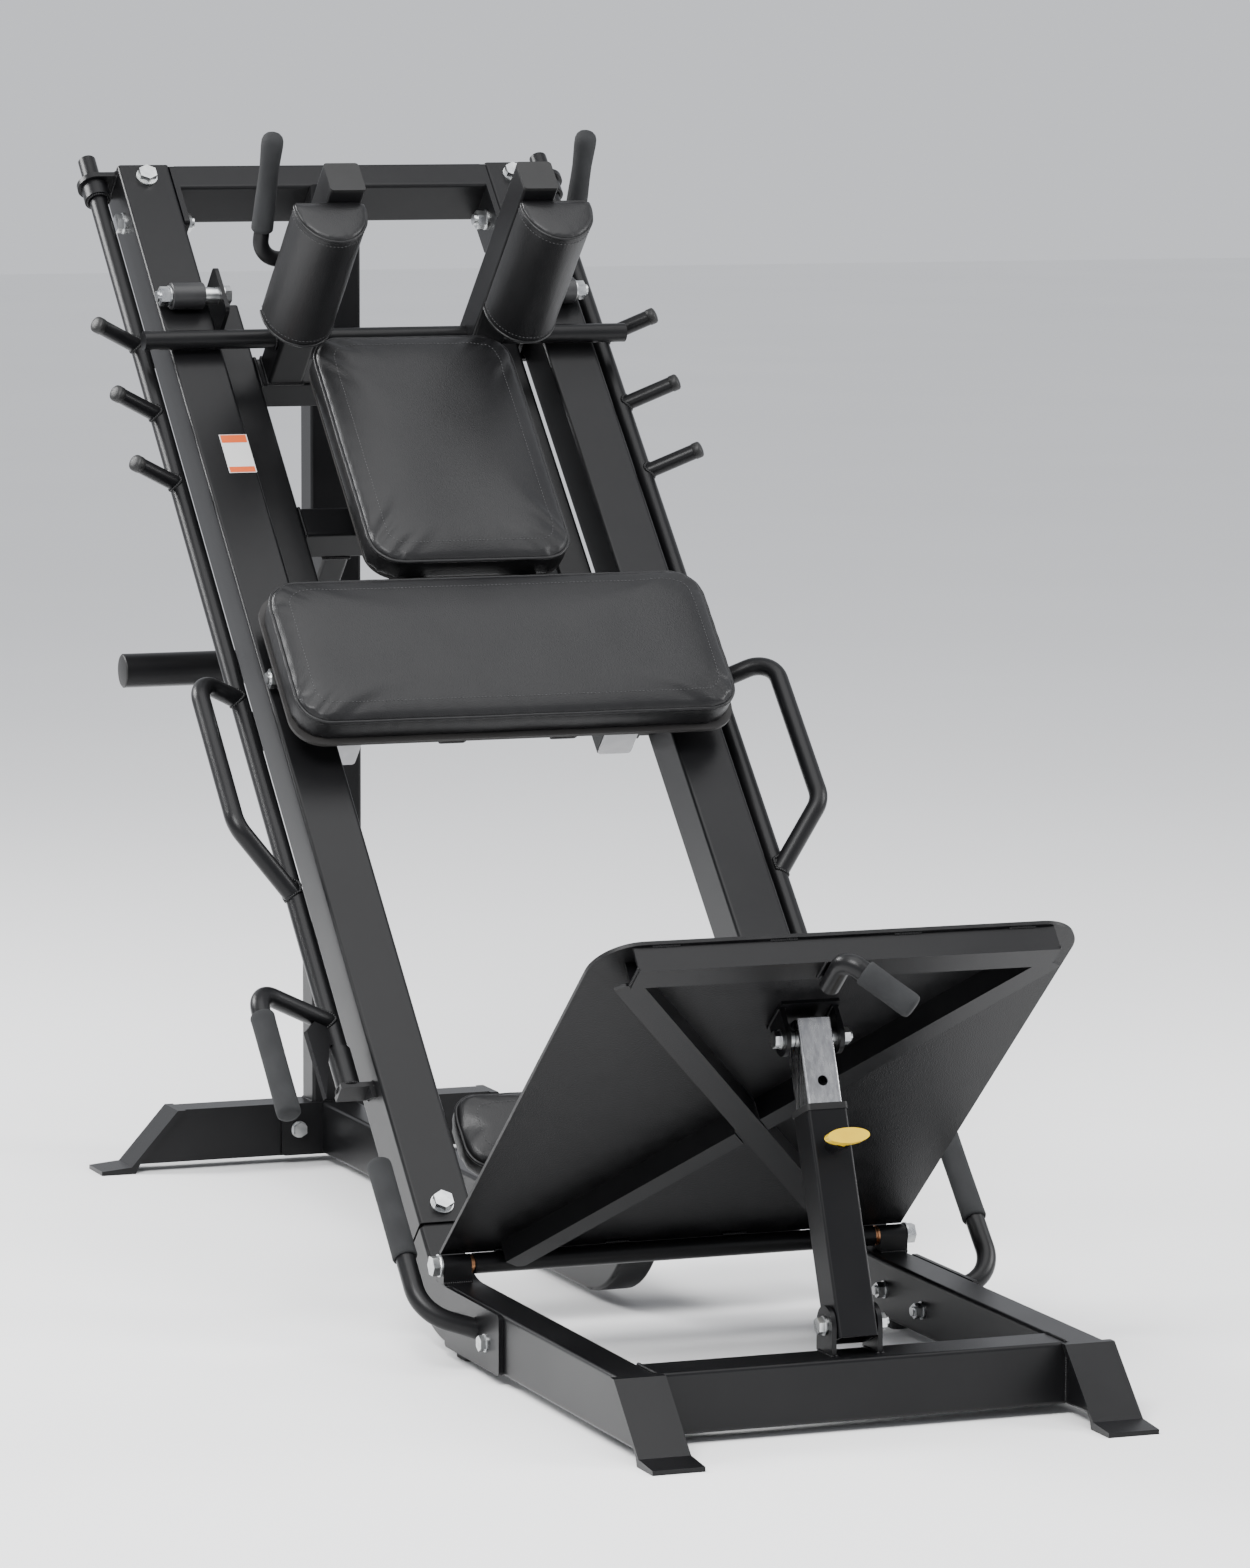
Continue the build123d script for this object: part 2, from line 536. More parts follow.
with BuildPart() as assist_grips:
    for side in (-1, 1):
        head = Vector(side * ASSIST_HEAD.X, ASSIST_HEAD.Y, ASSIST_HEAD.Z)
        add(foam_grip(head + S_DIR * 5.1, -S_DIR, ASSIST_GRIP))
save(assist_grips, "assist_grips")

with BuildPart() as assist_bolts:
    for side in (-1, 1):
        for y, z in ASSIST_BOLTS:
            add(hex_bolt(Vector(side * (SIDE_X + BASE_TUBE_W / 2 + PLATE), y, z), X_DIR * -side,
                         PLATE + BASE_TUBE_W, ASSIST_BOLT_R))
save(assist_bolts, "assist_bolts")

# ---- fixed lower pads between the rails ----
SEAT_HALF = RAIL_X - 54.4
SEAT_SPLIT = 84.0
SEAT_GAP = 4.0
SEAT_TOP_N = -3.0
SEAT_BACK_N = CARRIER_N + PLATE
with BuildPart() as seat_pad_upper:
    with BuildSketch(rail_face(SEAT_BACK_N)):
        with Locations((0, (SEAT_SPLIT + SEAT_GAP / 2 + 210.0) / 2)):
            RectangleRounded(2 * SEAT_HALF, 210.0 - SEAT_SPLIT - SEAT_GAP / 2, 34.0)
    extrude(amount=SEAT_TOP_N - SEAT_BACK_N)
save(seat_pad_upper, "seat_pad_upper")
with BuildPart() as seat_pad_lower:
    with BuildSketch(rail_face(SEAT_BACK_N)):
        with Locations((0, (SEAT_SPLIT - SEAT_GAP / 2 - 40.0) / 2)):
            RectangleRounded(2 * SEAT_HALF, SEAT_SPLIT - SEAT_GAP / 2 + 40.0, 34.0)
    extrude(amount=SEAT_TOP_N - SEAT_BACK_N)
save(seat_pad_lower, "seat_pad_lower")

# ================= foot plate =================

WASHER_T = 2.5
WASHER_R = 14.5
FP_TUBE_HALF = HINGE_HALF - SLEEVE_LEN - 2 * WASHER_T - 2 * SLIP
BOLT_GRIP = SLEEVE_LEN + 2 * WASHER_T + 60.0
with BuildPart() as hinge_bolts:
    for side in (-1, 1):
        with BuildSketch(Plane.YZ.offset(side * (HINGE_HALF + WASHER_T))):
            with Locations((HINGE_Y, HINGE_Z)):
                RegularPolygon(radius=13.5, side_count=6)
        extrude(amount=side * 10.0)
        with BuildSketch(Plane.YZ.offset(side * HINGE_HALF)):
            with Locations((HINGE_Y, HINGE_Z)):
                Circle(WASHER_R)
        extrude(amount=side * WASHER_T)
        with BuildSketch(Plane.YZ.offset(side * (HINGE_HALF + WASHER_T))):
            with Locations((HINGE_Y, HINGE_Z)):
                Circle(HINGE_PIN_R)
        extrude(amount=-side * (BOLT_GRIP + WASHER_T))
save(hinge_bolts, "hinge_bolts")

with BuildPart() as hinge_washers:
    for side in (-1, 1):
        for k in (0, 1):
            inner = HINGE_HALF - SLEEVE_LEN - (k + 1) * WASHER_T
            with BuildSketch(Plane.YZ.offset(side * inner)):
                with Locations((HINGE_Y, HINGE_Z)):
                    Circle(HINGE_R - k * 1.5)
                    Circle(HINGE_PIN_R + CONTACT, mode=Mode.SUBTRACT)
            extrude(amount=side * (WASHER_T - 0.05))
save(hinge_washers, "hinge_washers")

FP_CORNER = 58.0
FP_EDGE = 4.0
CHANNEL_T = (693.0, 731.0)
CHANNEL_HALF = FP_HALF - 44.0
CHANNEL_DROP = 34.0
CHANNEL_WALL = 4.0
with BuildPart() as footplate:
    with BuildSketch(plate_face(FP_TUBE_R)) as plate_outline:
        with Locations((0, -(FP_LEN + FP_EDGE) / 2)):
            Rectangle(2 * FP_HALF, FP_LEN - FP_EDGE)
        fillet(plate_outline.vertices().group_by(Axis.Y)[0], radius=FP_CORNER)
    extrude(amount=FP_THICK)
save(footplate, "footplate")

with BuildPart() as footplate_channel:
    with BuildSketch(plate_side(CHANNEL_HALF)):
        with Locations((sum(CHANNEL_T) / 2, FP_TUBE_R - CHANNEL_DROP / 2)):
            Rectangle(CHANNEL_T[1] - CHANNEL_T[0], CHANNEL_DROP)
        with Locations((sum(CHANNEL_T) / 2, FP_TUBE_R - (CHANNEL_DROP - CHANNEL_WALL) / 2)):
            Rectangle(CHANNEL_T[1] - CHANNEL_T[0] - 2 * CHANNEL_WALL, CHANNEL_DROP - CHANNEL_WALL,
                      mode=Mode.SUBTRACT)
    extrude(amount=2 * CHANNEL_HALF)
save(footplate_channel, "footplate_channel")

# angle bars crossing under the plate: one runs through, the other is in two halves
BRACE_TOP = (FP_HALF - 39.0, CHANNEL_T[0])
BRACE_LOW = (FP_HALF - 88.0, 18.0)
BRACE_LEG = 30.0
BRACE_WALL = 4.0
brace_rise = BRACE_TOP[1] - BRACE_LOW[1]
brace_run = BRACE_TOP[0] + BRACE_LOW[0]
brace_angle = degrees(atan2(brace_rise, brace_run))
brace_mid = (BRACE_TOP[0] - BRACE_LOW[0]) / 2
brace_t = (BRACE_TOP[1] + BRACE_LOW[1]) / 2
brace_len = (brace_rise ** 2 + brace_run ** 2) ** 0.5


def brace(side):
    with BuildPart() as bar:
        with BuildSketch(plate_face(FP_TUBE_R)):
            with Locations(Location((side * brace_mid, -brace_t), -side * brace_angle)):
                with Locations((0, -BRACE_LEG / 2)):
                    Rectangle(brace_len, BRACE_WALL)
        extrude(amount=-BRACE_LEG)
        with BuildSketch(plate_face(FP_TUBE_R - BRACE_LEG)):
            with Locations(Location((side * brace_mid, -brace_t), -side * brace_angle)):
                Rectangle(brace_len, BRACE_LEG)
        extrude(amount=BRACE_WALL)
        # square the upper end off at the channel
        with BuildSketch(plate_face(FP_TUBE_R - 2 * BRACE_LEG)):
            with Locations((0, -CHANNEL_T[0] - 30)):
                Rectangle(4 * FP_HALF, 60)
            with Locations((0, 20 - FP_TUBE_R - 1)):
                Rectangle(4 * FP_HALF, 40)
        extrude(amount=3 * BRACE_LEG, mode=Mode.SUBTRACT)
    return bar.part


def brace_way(side):
    with BuildPart() as way:
        with BuildSketch(plate_face(FP_TUBE_R - 2 * BRACE_LEG)):
            with Locations(Location((side * brace_mid, -brace_t), -side * brace_angle)):
                Rectangle(brace_len * 1.2, BRACE_LEG + 8)
        extrude(amount=3 * BRACE_LEG)
    return way.part


with BuildPart() as footplate_braces:
    add(brace(1))
    add(brace_way(-1), mode=Mode.SUBTRACT)
    add(brace(-1))
save(footplate_braces, "footplate_braces")

with BuildPart() as footplate_hinge_tube:
    with BuildSketch(Plane.YZ.offset(-FP_TUBE_HALF)):
        with Locations((HINGE_Y, HINGE_Z)):
            Circle(FP_TUBE_R)
            Circle(HINGE_PIN_R + CONTACT, mode=Mode.SUBTRACT)
    extrude(amount=2 * FP_TUBE_HALF)
save(footplate_hinge_tube, "footplate_hinge_tube")

CLEVIS_IN = 32.0
CLEVIS_R = 21.0
CLEVIS_PAD = 30.0
with BuildPart() as strut_head_clevis:
    with BuildSketch(plate_side(CLEVIS_IN + PLATE)):
        with Locations((STRUT_HEAD_T, FP_TUBE_R - CHANNEL_WALL / 2)):
            Rectangle(2 * CLEVIS_PAD, CHANNEL_WALL)
    extrude(amount=2 * (CLEVIS_IN + PLATE))
    for x in (CLEVIS_IN + PLATE, -CLEVIS_IN):
        with BuildSketch(plate_side(x)):
            with Locations((STRUT_HEAD_T, STRUT_HEAD_M)):
                Circle(CLEVIS_R)
            with Locations((STRUT_HEAD_T, (STRUT_HEAD_M + FP_TUBE_R) / 2)):
                Rectangle(2 * CLEVIS_R, FP_TUBE_R - STRUT_HEAD_M)
            with Locations((STRUT_HEAD_T, STRUT_HEAD_M)):
                Circle(STRUT_PIN_R + CONTACT, mode=Mode.SUBTRACT)
        extrude(amount=PLATE)
save(strut_head_clevis, "strut_head_clevis")

SPACER_R = 10.0
SPACER_IN = STRUT_INNER / 2 + SLIP
with BuildPart() as strut_head_bolt:
    add(hex_bolt(on_plate(-CLEVIS_IN - PLATE, STRUT_HEAD_T, STRUT_HEAD_M), X_DIR,
                 2 * (CLEVIS_IN + PLATE), STRUT_PIN_R))
    for x in (-CLEVIS_IN, SPACER_IN):
        with BuildSketch(Plane(origin=on_plate(x, STRUT_HEAD_T, STRUT_HEAD_M), z_dir=X_DIR)):
            Circle(SPACER_R)
        extrude(amount=CLEVIS_IN - SPACER_IN)
save(strut_head_bolt, "strut_head_bolt")

LIFT_X = -22.0
LIFT_T = 758.0
LIFT_M = FP_TUBE_R - CHANNEL_DROP - ROD_R
LIFT_REACH = 96.0
LIFT_LEAN = 47.0        # the grip points this far below the sideways direction
LIFT_BEND = 20.0
LIFT_GRIP = 74.0
lift_corner = on_plate(LIFT_X, LIFT_T, LIFT_M)
lift_out = X_DIR * cos(radians(LIFT_LEAN)) - M_DIR * sin(radians(LIFT_LEAN))
with BuildPart() as lift_handle:
    add(round_bar([tuple(on_plate(LIFT_X, CHANNEL_T[0] + 3, LIFT_M)), tuple(lift_corner),
                   tuple(lift_corner + lift_out * LIFT_REACH)], LIFT_BEND, ROD_R, 9.7))
save(lift_handle, "lift_handle")
with BuildPart() as lift_grip:
    add(foam_grip(lift_corner + lift_out * (LIFT_REACH + 5.1), lift_out * -1, LIFT_GRIP))
save(lift_grip, "lift_grip")

# ================= strut =================

strut_foot = Vector(0, STRUT_FOOT_Y, STRUT_FOOT_Z)
strut_head = on_plate(0, STRUT_HEAD_T, STRUT_HEAD_M)
strut_line = strut_head - strut_foot
strut_len = strut_line.length
strut_axis = strut_line.normalized()
strut_front = X_DIR.cross(strut_axis)
STRUT_TAIL = 20.0
STRUT_SLEEVE_TOP = 258.0
STRUT_COLLAR = 8.0
INNER_LOW = 94.0
INNER_TAIL = 20.0
HEAD_HOLE_R = 8.6
LOCK_U = 214.0
LOCK_STEP = 40.0
BOSS_R = 10.5
BOSS_LEN = 24.0
LOCK_NUT = 8.0


def strut_cross(u):
    # sketch axes: X, and across the strut; extrudes up the strut
    return Plane(origin=strut_foot + strut_axis * u, x_dir=X_DIR, z_dir=strut_axis)


def strut_forward(u, d):
    return Plane(origin=strut_foot + strut_axis * u + strut_front * d, x_dir=X_DIR, z_dir=strut_front)


with BuildPart() as strut_outer_tube:
    with BuildSketch(strut_cross(-STRUT_TAIL)):
        RectangleRounded(STRUT_OUTER, STRUT_OUTER, 4.0)
        Rectangle(STRUT_INNER + 2 * CONTACT, STRUT_INNER + 2 * CONTACT, mode=Mode.SUBTRACT)
    extrude(amount=STRUT_TAIL + STRUT_SLEEVE_TOP)
    with BuildSketch(Plane(origin=strut_foot - X_DIR * STRUT_OUTER, z_dir=X_DIR)):
        Circle(STRUT_PIN_R + CONTACT)
    extrude(amount=2 * STRUT_OUTER, mode=Mode.SUBTRACT)
    # threaded boss and lock nut of the pull pin
    with BuildSketch(strut_forward(LOCK_U, STRUT_OUTER / 2)):
        Circle(BOSS_R)
    extrude(amount=BOSS_LEN)
    with BuildSketch(strut_forward(LOCK_U, STRUT_OUTER / 2 + BOSS_LEN)):
        RegularPolygon(radius=12.5, side_count=6)
    extrude(amount=LOCK_NUT)
    with BuildSketch(strut_forward(LOCK_U, STRUT_INNER / 2)):
        Circle(STRUT_PIN_R + CONTACT)
    extrude(amount=STRUT_OUTER, mode=Mode.SUBTRACT)
save(strut_outer_tube, "strut_outer_tube")

with BuildPart() as strut_collar:
    with BuildSketch(strut_cross(STRUT_SLEEVE_TOP)):
        RectangleRounded(STRUT_OUTER + 3, STRUT_OUTER + 3, 5.0)
        Rectangle(STRUT_INNER + 2 * CONTACT, STRUT_INNER + 2 * CONTACT, mode=Mode.SUBTRACT)
    extrude(amount=STRUT_COLLAR)
save(strut_collar, "strut_collar")

with BuildPart() as strut_inner_tube:
    with BuildSketch(strut_cross(INNER_LOW)):
        RectangleRounded(STRUT_INNER, STRUT_INNER, 3.0)
        Rectangle(STRUT_INNER - 2 * TUBE_WALL, STRUT_INNER - 2 * TUBE_WALL, mode=Mode.SUBTRACT)
    extrude(amount=strut_len + INNER_TAIL - INNER_LOW)
    with BuildSketch(Plane(origin=strut_head - X_DIR * STRUT_OUTER, z_dir=X_DIR)):
        Circle(HEAD_HOLE_R)
    extrude(amount=2 * STRUT_OUTER, mode=Mode.SUBTRACT)
    # adjustment holes on the front face
    for step in (-2, -1, 0, 1, 2):
        with BuildSketch(strut_forward(LOCK_U + step * LOCK_STEP, STRUT_INNER / 4)):
            Circle(STRUT_PIN_R + CONTACT)
        extrude(amount=STRUT_OUTER, mode=Mode.SUBTRACT)
save(strut_inner_tube, "strut_inner_tube")

PIN_TIP = STRUT_INNER / 2 + 0.4     # drawn just clear of the inner tube, so that the strut can slide
PIN_HEAD = STRUT_OUTER / 2 + BOSS_LEN + LOCK_NUT + SLIP
PIN_BAR = (27.0, 9.5, 13.0)     # half length, half height and thickness of the oval handle
with BuildPart() as pull_pin:
    with BuildSketch(strut_forward(LOCK_U, PIN_TIP)):
        Circle(STRUT_PIN_R)
    extrude(amount=PIN_HEAD - PIN_TIP)
    with BuildSketch(strut_forward(LOCK_U, PIN_HEAD)):
        Circle(9.0)
    extrude(amount=12.0)
    with BuildSketch(strut_forward(LOCK_U, PIN_HEAD + 8.0)):
        Ellipse(PIN_BAR[0], PIN_BAR[1])
    extrude(amount=PIN_BAR[2])
save(pull_pin, "pull_pin")

with BuildPart() as strut_foot_bolt:
    add(hex_bolt(strut_foot - X_DIR * (EAR_IN + PLATE), X_DIR, 2 * (EAR_IN + PLATE), STRUT_PIN_R))
save(strut_foot_bolt, "strut_foot_bolt")

# ================= stop rods =================

PEG_OUT = X_DIR * cos(radians(PEG_TILT)) + N_DIR * sin(radians(PEG_TILT))


def on_rod(s, r):
    return on_rail(ROD_X, s, ROD_N) + PEG_OUT * r


COLLAR_LEN = 25.0
COLLAR_R = 19.0
with BuildPart() as stop_rod_right:
    add(rod(on_rod(FOOT_SLEEVE[1], 0), S_DIR, ROD_TOP - FOOT_SLEEVE[1], ROD_R))
    add(rod(on_rod(HEAD_BRACKET[0] - SLIP - COLLAR_LEN, 0), S_DIR, COLLAR_LEN, COLLAR_R))
    for s in PEG_AT:
        add(rod(on_rod(s, 0), PEG_OUT, PEG_REACH, PEG_R))
with BuildPart() as stop_rod_left:
    add(mirror(stop_rod_right.part, about=Plane.YZ))
save(stop_rod_right, "stop_rod_right")
save(stop_rod_left, "stop_rod_left")

GRAB_S = (890.0, 640.0, 556.0)
GRAB_OUT = 88.0
with BuildPart() as grab_bar_right:
    add(round_bar([tuple(on_rod(GRAB_S[0], 4)), tuple(on_rod(GRAB_S[0], GRAB_OUT)),
                   tuple(on_rod(GRAB_S[1], GRAB_OUT)), tuple(on_rod(GRAB_S[2], 2))], 38.0, ROD_R))
    add(rod(on_rod(FOOT_SLEEVE[1], 0), S_DIR, ROD_TOP - FOOT_SLEEVE[1], ROD_R), mode=Mode.SUBTRACT)
with BuildPart() as grab_bar_left:
    add(mirror(grab_bar_right.part, about=Plane.YZ))
save(grab_bar_right, "grab_bar_right")
save(grab_bar_left, "grab_bar_left")

LEVER_S = 346.0
LEVER_OUT = 148.0
LEVER_LOW = 150.0
PADDLE = ((361.0, 11.0), (304.0, 11.0), (304.0, 19.0), (203.0, 60.0), (311.0, 62.0))
PADDLE_T = 6.0
paddle_plane = Plane(origin=on_rod(0, 0), x_dir=S_DIR, z_dir=S_DIR.cross(PEG_OUT))
with BuildPart() as stop_lever_right:
    add(round_bar([tuple(on_rod(LEVER_S, 4)), tuple(on_rod(LEVER_S, LEVER_OUT)),
                   tuple(on_rod(LEVER_LOW, LEVER_OUT))], 34.0, ROD_R))
    with BuildSketch(paddle_plane.offset(-PADDLE_T / 2)):
        Polygon(*PADDLE, align=None)
    extrude(amount=PADDLE_T)
    add(rod(on_rod(FOOT_SLEEVE[1], 0), S_DIR, ROD_TOP - FOOT_SLEEVE[1], ROD_R), mode=Mode.SUBTRACT)
with BuildPart() as stop_lever_left:
    add(mirror(stop_lever_right.part, about=Plane.YZ))
save(stop_lever_right, "stop_lever_right")
save(stop_lever_left, "stop_lever_left")

LEVER_GRIP = 160.0
with BuildPart() as lever_grip_right:
    add(foam_grip(on_rod(LEVER_LOW - 5.1, LEVER_OUT), S_DIR, LEVER_GRIP))
with BuildPart() as lever_grip_left:
    add(mirror(lever_grip_right.part, about=Plane.YZ))
save(lever_grip_right, "lever_grip_right")
save(lever_grip_left, "lever_grip_left")

# ================= carriage =================

CROSS_S = (960.0, HORN_S, ARM_S)
CROSS_SIZE = 50.8
CROSS_N = MEMBER_N - CROSS_SIZE / 2
MEMBER_IN = MEMBER_X - MEMBER_W / 2
MEMBER_OUT = MEMBER_X + MEMBER_W / 2
BOARD_N = PAD_N - BOARD_THICK
PAD_RAIL_X = 80.0
PAD_RAIL_SIZE = 40.0
PAD_RAIL_S = (772.0, 1440.0)
DROP_X = 120.0
DROP_SIZE = (50.8, 38.1)
DROP_END = HORN_N - 28.0
ROOT = 1.5              # how far a welded tube end reaches into the wall it meets
STANDOFF_IN = 8.0       # the standoffs are narrower than the tubes they join
with BuildPart() as carriage_frame:
    for side in (-1, 1):
        add(box_tube(rail_cross(MEMBER_LOW), (side * MEMBER_X, -MEMBER_N + MEMBER_D / 2),
                     (MEMBER_W, MEMBER_D), MEMBER_TOP - MEMBER_LOW))
        for s in (MEMBER_LOW, MEMBER_TOP - TUBE_WALL):
            with BuildSketch(rail_cross(s)):
                with Locations((side * MEMBER_X, -MEMBER_N + MEMBER_D / 2)):
                    Rectangle(MEMBER_W - 2 * TUBE_WALL, MEMBER_D - 2 * TUBE_WALL)
            extrude(amount=TUBE_WALL)
        # standoff under the wide hip board
        add(box_tube(rail_face(MEMBER_N - ROOT), (side * MEMBER_X, CROSS_S[0]),
                     (MEMBER_W - STANDOFF_IN, CROSS_SIZE - STANDOFF_IN), BOARD_N - MEMBER_N + ROOT))
        # pad rail and its standoffs
        add(box_tube(rail_cross(PAD_RAIL_S[0]), (side * PAD_RAIL_X, -BOARD_N + PAD_RAIL_SIZE / 2),
                     (PAD_RAIL_SIZE, PAD_RAIL_SIZE), PAD_RAIL_S[1] - PAD_RAIL_S[0]))
        for s in CROSS_S[:2]:
            add(box_tube(rail_face(MEMBER_N - ROOT), (side * PAD_RAIL_X, s),
                         (PAD_RAIL_SIZE - STANDOFF_IN, CROSS_SIZE - STANDOFF_IN),
                         BOARD_N - PAD_RAIL_SIZE - MEMBER_N + 2 * ROOT))
    for s in CROSS_S:
        add(box_tube(rail_side(-MEMBER_IN - ROOT), (s, CROSS_N), (CROSS_SIZE, CROSS_SIZE),
                     2 * (MEMBER_IN + ROOT)))
    # tubes that hang the load bar behind the carriage
    for side in (-1, 1):
        add(box_tube(rail_face(DROP_END), (side * DROP_X, HORN_S), (DROP_SIZE[1], DROP_SIZE[0]),
                     MEMBER_N - CROSS_SIZE - DROP_END + ROOT))
    with BuildSketch(rail_side(-MEMBER_X)):
        with Locations((HORN_S, HORN_N)):
            Circle(HORN_R + CONTACT)
    extrude(amount=2 * MEMBER_X, mode=Mode.SUBTRACT)
save(carriage_frame, "carriage_frame")

HANDLE_R = 11.1
HANDLE_X = 229.4
HANDLE_LOW = (1490.0, 186.0)
HANDLE_TOP = (1562.0, 352.0)
SHOULDER_BOARD = 4.0
SHOULDER_BOARD_HALF = 47.0
SHOULDER_X = 165.0
SHOULDER_HALF = 53.0
SHOULDER_N = (100.0, 330.0)
SHOULDER_DEPTH = 72.0
arm_low_s = ARM_S - ARM_SIZE / 2
with BuildPart() as shoulder_arms:
    for side in (-1, 1):
        add(box_tube(rail_face(MEMBER_N), (side * ARM_X, ARM_S), (ARM_SIZE, ARM_SIZE), ARM_END - MEMBER_N))
        with BuildSketch(rail_face(SHOULDER_N[0] + 8)):
            with Locations((side * SHOULDER_X, arm_low_s - SHOULDER_BOARD / 2)):
                Rectangle(2 * SHOULDER_BOARD_HALF, SHOULDER_BOARD)
        extrude(amount=SHOULDER_N[1] - SHOULDER_N[0] - 16)
        add(round_bar([tuple(on_rail(side * (ARM_X + ARM_SIZE / 2 - 2), *HANDLE_LOW)),
                       tuple(on_rail(side * HANDLE_X, *HANDLE_LOW)),
                       tuple(on_rail(side * HANDLE_X, *HANDLE_TOP))], 30.0, HANDLE_R))
    with BuildSketch(rail_side(-MEMBER_X)):
        with Locations((ARM_S, CATCH_N)):
            Circle(CATCH_R + CONTACT)
    extrude(amount=2 * MEMBER_X, mode=Mode.SUBTRACT)
save(shoulder_arms, "shoulder_arms")

ARM_CAP = 5.0
with BuildPart() as arm_caps:
    with BuildSketch(rail_face(ARM_END)):
        with Locations((-ARM_X, ARM_S), (ARM_X, ARM_S)):
            RectangleRounded(ARM_SIZE, ARM_SIZE, 5.0)
    extrude(amount=ARM_CAP)
save(arm_caps, "arm_caps")

with BuildPart() as shoulder_pad_right:
    with BuildSketch(rail_face(SHOULDER_N[0])):
        with BuildLine():
            Line((SHOULDER_X - SHOULDER_HALF, arm_low_s - SHOULDER_BOARD),
                 (SHOULDER_X + SHOULDER_HALF, arm_low_s - SHOULDER_BOARD))
            Line((SHOULDER_X + SHOULDER_HALF, arm_low_s - SHOULDER_BOARD),
                 (SHOULDER_X + SHOULDER_HALF, arm_low_s - SHOULDER_BOARD - 14))
            ThreePointArc((SHOULDER_X + SHOULDER_HALF, arm_low_s - SHOULDER_BOARD - 14),
                          (SHOULDER_X, arm_low_s - SHOULDER_BOARD - SHOULDER_DEPTH),
                          (SHOULDER_X - SHOULDER_HALF, arm_low_s - SHOULDER_BOARD - 14))
            Line((SHOULDER_X - SHOULDER_HALF, arm_low_s - SHOULDER_BOARD - 14),
                 (SHOULDER_X - SHOULDER_HALF, arm_low_s - SHOULDER_BOARD))
        make_face()
    extrude(amount=SHOULDER_N[1] - SHOULDER_N[0])
with BuildPart() as shoulder_pad_left:
    add(mirror(shoulder_pad_right.part, about=Plane.YZ))
save(shoulder_pad_right, "shoulder_pad_right")
save(shoulder_pad_left, "shoulder_pad_left")

GRIP_LEN = 146.0
grip_axis = (on_rail(0, *HANDLE_TOP) - on_rail(0, *HANDLE_LOW)).normalized()
with BuildPart() as carriage_grips:
    for side in (-1, 1):
        add(foam_grip(on_rail(side * HANDLE_X, *HANDLE_TOP) + grip_axis * 8.1, grip_axis * -1,
                      GRIP_LEN, HANDLE_R, 15.4, 8.0))
save(carriage_grips, "carriage_grips")

with BuildPart() as catch_bar:
    add(rod(on_rail(-CATCH_HALF, ARM_S, CATCH_N), X_DIR, 2 * CATCH_HALF, CATCH_R))
save(catch_bar, "catch_bar")

PAD_CORNER = 44.0
with BuildPart() as hip_pad:
    with BuildSketch(rail_face(PAD_N)):
        with Locations((0, sum(HIP_S) / 2)):
            RectangleRounded(2 * HIP_HALF, HIP_S[1] - HIP_S[0], PAD_CORNER)
    extrude(amount=PAD_THICK)
save(hip_pad, "hip_pad")
with BuildPart() as back_pad:
    with BuildSketch(rail_face(PAD_N)):
        with Locations((0, sum(BACK_S) / 2)):
            RectangleRounded(2 * BACK_HALF, BACK_S[1] - BACK_S[0], PAD_CORNER)
    extrude(amount=PAD_THICK)
save(back_pad, "back_pad")
with BuildPart() as pad_boards:
    with BuildSketch(rail_face(BOARD_N)):
        with Locations((0, sum(HIP_S) / 2)):
            RectangleRounded(2 * HIP_HALF, HIP_S[1] - HIP_S[0] + 8, PAD_CORNER)
        with Locations((0, sum(BACK_S) / 2)):
            RectangleRounded(2 * BACK_HALF - 12, BACK_S[1] - BACK_S[0] - 12, PAD_CORNER)
    extrude(amount=BOARD_THICK)
save(pad_boards, "pad_boards")

HORN_STOP_R = 42.0
HORN_STOP_X = DROP_X + DROP_SIZE[1] / 2
with BuildPart() as horn_bar:
    add(rod(on_rail(-HORN_HALF, HORN_S, HORN_N), X_DIR, 2 * HORN_HALF, HORN_R))
    add(rod(on_rail(-HORN_STOP_X - PLATE, HORN_S, HORN_N), X_DIR, PLATE, HORN_STOP_R))
    add(rod(on_rail(HORN_STOP_X, HORN_S, HORN_N), X_DIR, PLATE, HORN_STOP_R))
save(horn_bar, "horn_bar")

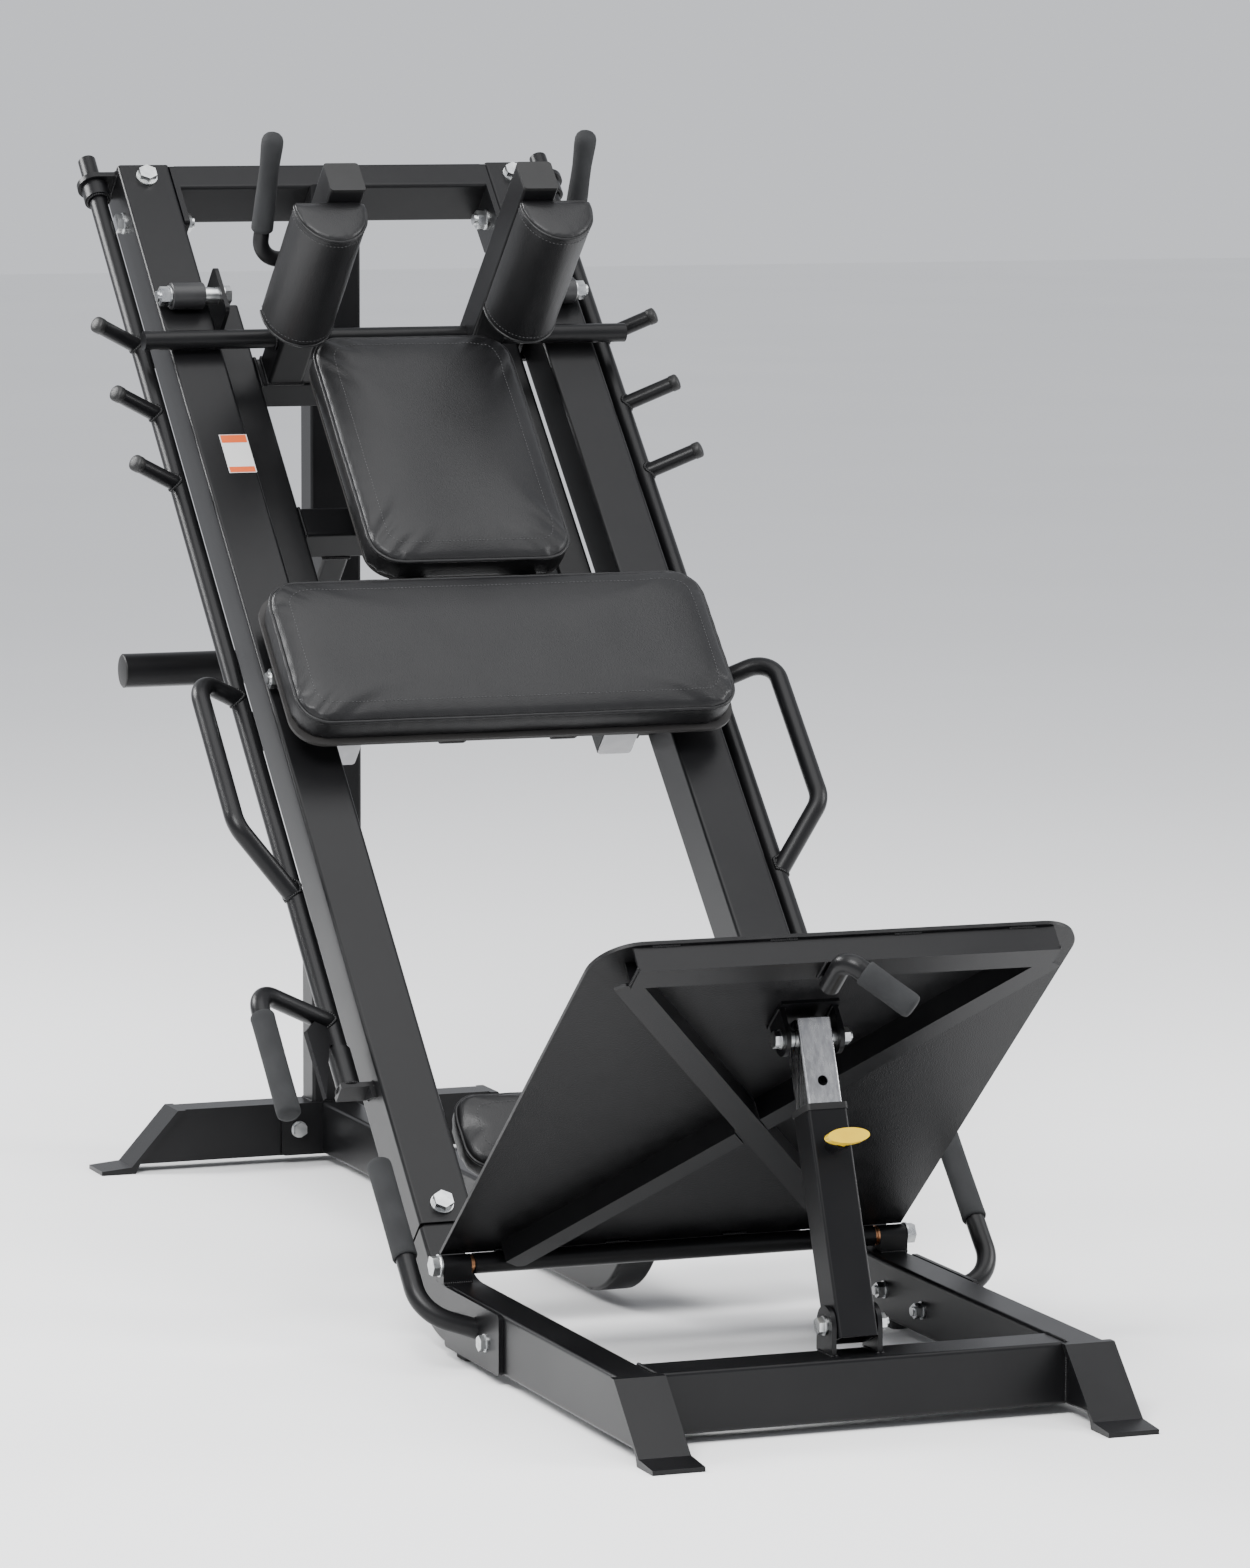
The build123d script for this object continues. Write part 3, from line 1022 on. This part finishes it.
GLIDE_T = 14.0
GLIDE_N = -RAIL_SIZE - 0.4
FOOT_N = GLIDE_N - GLIDE_T - PLATE
AXLE_N = ROLLER_R + ROLLER_GAP
PLATE_HALF = 42.0
with BuildPart() as roller_plates:
    for side in (-1, 1):
        for s in ROLLER_AT:
            start = MEMBER_OUT if side > 0 else -MEMBER_OUT - PLATE
            with BuildSketch(rail_side(start)):
                with Locations((s, (FOOT_N + AXLE_N + 17) / 2)):
                    RectangleRounded(2 * PLATE_HALF, AXLE_N + 17 - FOOT_N, 10.0)
                with Locations((s, AXLE_N)):
                    Circle(AXLE_R + CONTACT, mode=Mode.SUBTRACT)
            extrude(amount=PLATE)
            foot = MEMBER_OUT + PLATE if side > 0 else -RAIL_OUT + 6
            with BuildSketch(rail_side(foot)):
                with Locations((s, FOOT_N + PLATE / 2)):
                    Rectangle(2 * PLATE_HALF - 20, PLATE)
            extrude(amount=RAIL_OUT - 6 - MEMBER_OUT - PLATE)
save(roller_plates, "roller_plates")

with BuildPart() as glide_blocks:
    for side in (-1, 1):
        for s in ROLLER_AT:
            with BuildSketch(rail_face(GLIDE_N - GLIDE_T)):
                with Locations((side * RAIL_X, s)):
                    RectangleRounded(54.0, 2 * PLATE_HALF - 24, 5.0)
            extrude(amount=GLIDE_T)
save(glide_blocks, "glide_blocks")

ROLLER_IN = RAIL_X - ROLLER_W / 2
with BuildPart() as roller_axles:
    for side in (-1, 1):
        for s in ROLLER_AT:
            add(hex_bolt(on_rail(side * MEMBER_OUT, s, AXLE_N), X_DIR * side,
                         ROLLER_IN + ROLLER_W + SLIP - MEMBER_OUT, AXLE_R))
            add(rod(on_rail(side * (MEMBER_OUT + PLATE), s, AXLE_N), X_DIR * side,
                    ROLLER_IN - SLIP - MEMBER_OUT - PLATE, 12.0))
save(roller_axles, "roller_axles")


def roller(side, s):
    with BuildPart() as wheel:
        with BuildSketch(Plane(origin=on_rail(side * ROLLER_IN, s, AXLE_N), z_dir=X_DIR * side)):
            Circle(ROLLER_R)
            Circle(AXLE_R + CONTACT, mode=Mode.SUBTRACT)
        extrude(amount=ROLLER_W)
        chamfer(wheel.edges().filter_by(GeomType.CIRCLE).group_by(SortBy.RADIUS)[-1], length=1.5)
    return wheel


save(roller(-1, ROLLER_AT[0]), "roller_lower_left")
save(roller(1, ROLLER_AT[0]), "roller_lower_right")
save(roller(-1, ROLLER_AT[1]), "roller_upper_left")
save(roller(1, ROLLER_AT[1]), "roller_upper_right")
